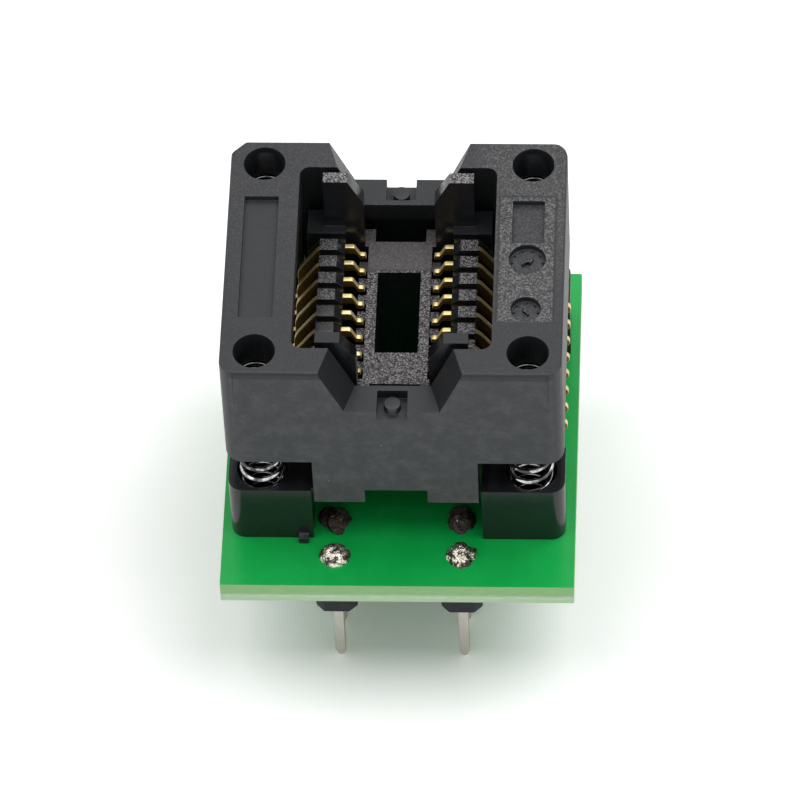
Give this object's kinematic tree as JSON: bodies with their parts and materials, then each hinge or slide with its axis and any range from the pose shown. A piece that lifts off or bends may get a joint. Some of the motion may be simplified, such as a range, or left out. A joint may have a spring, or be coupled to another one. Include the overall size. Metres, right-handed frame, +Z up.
{
  "type": "ic programming adapter",
  "caption": "Open-top spring-loaded chip socket on a small circuit board with two rows of plug-in pins; pressing the cover opens the contacts.",
  "frame": {"origin": "under the middle of the circuit board, at the tips of the header pins", "axes": "+Z up out of the socket, +Y to the rear along the pin rows, +X to the right across the rows"},
  "size_m": [0.0214, 0.0242, 0.0264],
  "materials": {
    "board": "solder mask",
    "moulding": "spark-eroded",
    "strip": "moulded",
    "pin": "tinned",
    "solder": "solidified solder",
    "spring": "bright wire",
    "contact": "gold plated"
  },
  "bodies": {
    "adapter": {"circuit_board": "board", "socket_base": "moulding", "header_strip_left": "strip", "header_pins_left": "pin", "pin_solder_left": "solder", "tail_solder_left": "solder", "header_strip_right": "strip", "header_pins_right": "pin", "pin_solder_right": "solder", "tail_solder_right": "solder", "spring_front_left": "spring", "spring_front_right": "spring", "spring_rear_left": "spring", "spring_rear_right": "spring", "contact_stem_left_1": "contact", "contact_stem_left_2": "contact", "contact_stem_left_3": "contact", "contact_stem_left_4": "contact", "contact_stem_left_5": "contact", "contact_stem_left_6": "contact", "contact_stem_left_7": "contact", "contact_stem_left_8": "contact", "contact_stem_right_1": "contact", "contact_stem_right_2": "contact", "contact_stem_right_3": "contact", "contact_stem_right_4": "contact", "contact_stem_right_5": "contact", "contact_stem_right_6": "contact", "contact_stem_right_7": "contact", "contact_stem_right_8": "contact"},
    "cover": {"cover": "moulding"},
    "left_contacts": {"contact_arm_left_1": "contact", "contact_arm_left_2": "contact", "contact_arm_left_3": "contact", "contact_arm_left_4": "contact", "contact_arm_left_5": "contact", "contact_arm_left_6": "contact", "contact_arm_left_7": "contact", "contact_arm_left_8": "contact"},
    "right_contacts": {"contact_arm_right_1": "contact", "contact_arm_right_2": "contact", "contact_arm_right_3": "contact", "contact_arm_right_4": "contact", "contact_arm_right_5": "contact", "contact_arm_right_6": "contact", "contact_arm_right_7": "contact", "contact_arm_right_8": "contact"}
  },
  "joints": [
    {"name": "cover_slide", "type": "slide", "parent": "adapter", "child": "cover", "axis": [0, 0, -1], "range_m": [0, 0.0024], "stiffness_N_per_m": 3000, "springref_m": -0.0012, "deforming": ["spring_front_left", "spring_front_right", "spring_rear_left", "spring_rear_right"]},
    {"name": "left_contacts_hinge", "type": "hinge", "parent": "adapter", "child": "left_contacts", "pos_m": [-0.00599, 0.0004, 0.01654], "axis": [0, -1, 0], "range_deg": [0, 16.3]},
    {"name": "right_contacts_hinge", "type": "hinge", "parent": "adapter", "child": "right_contacts", "pos_m": [0.00599, 0.0004, 0.01654], "axis": [0, 1, 0], "range_deg": [0, 16.3]}
  ],
  "couplings": [
    {"joint": "left_contacts_hinge", "follows": "cover_slide", "rad_per_m": 118},
    {"joint": "right_contacts_hinge", "follows": "cover_slide", "rad_per_m": 118}
  ]
}
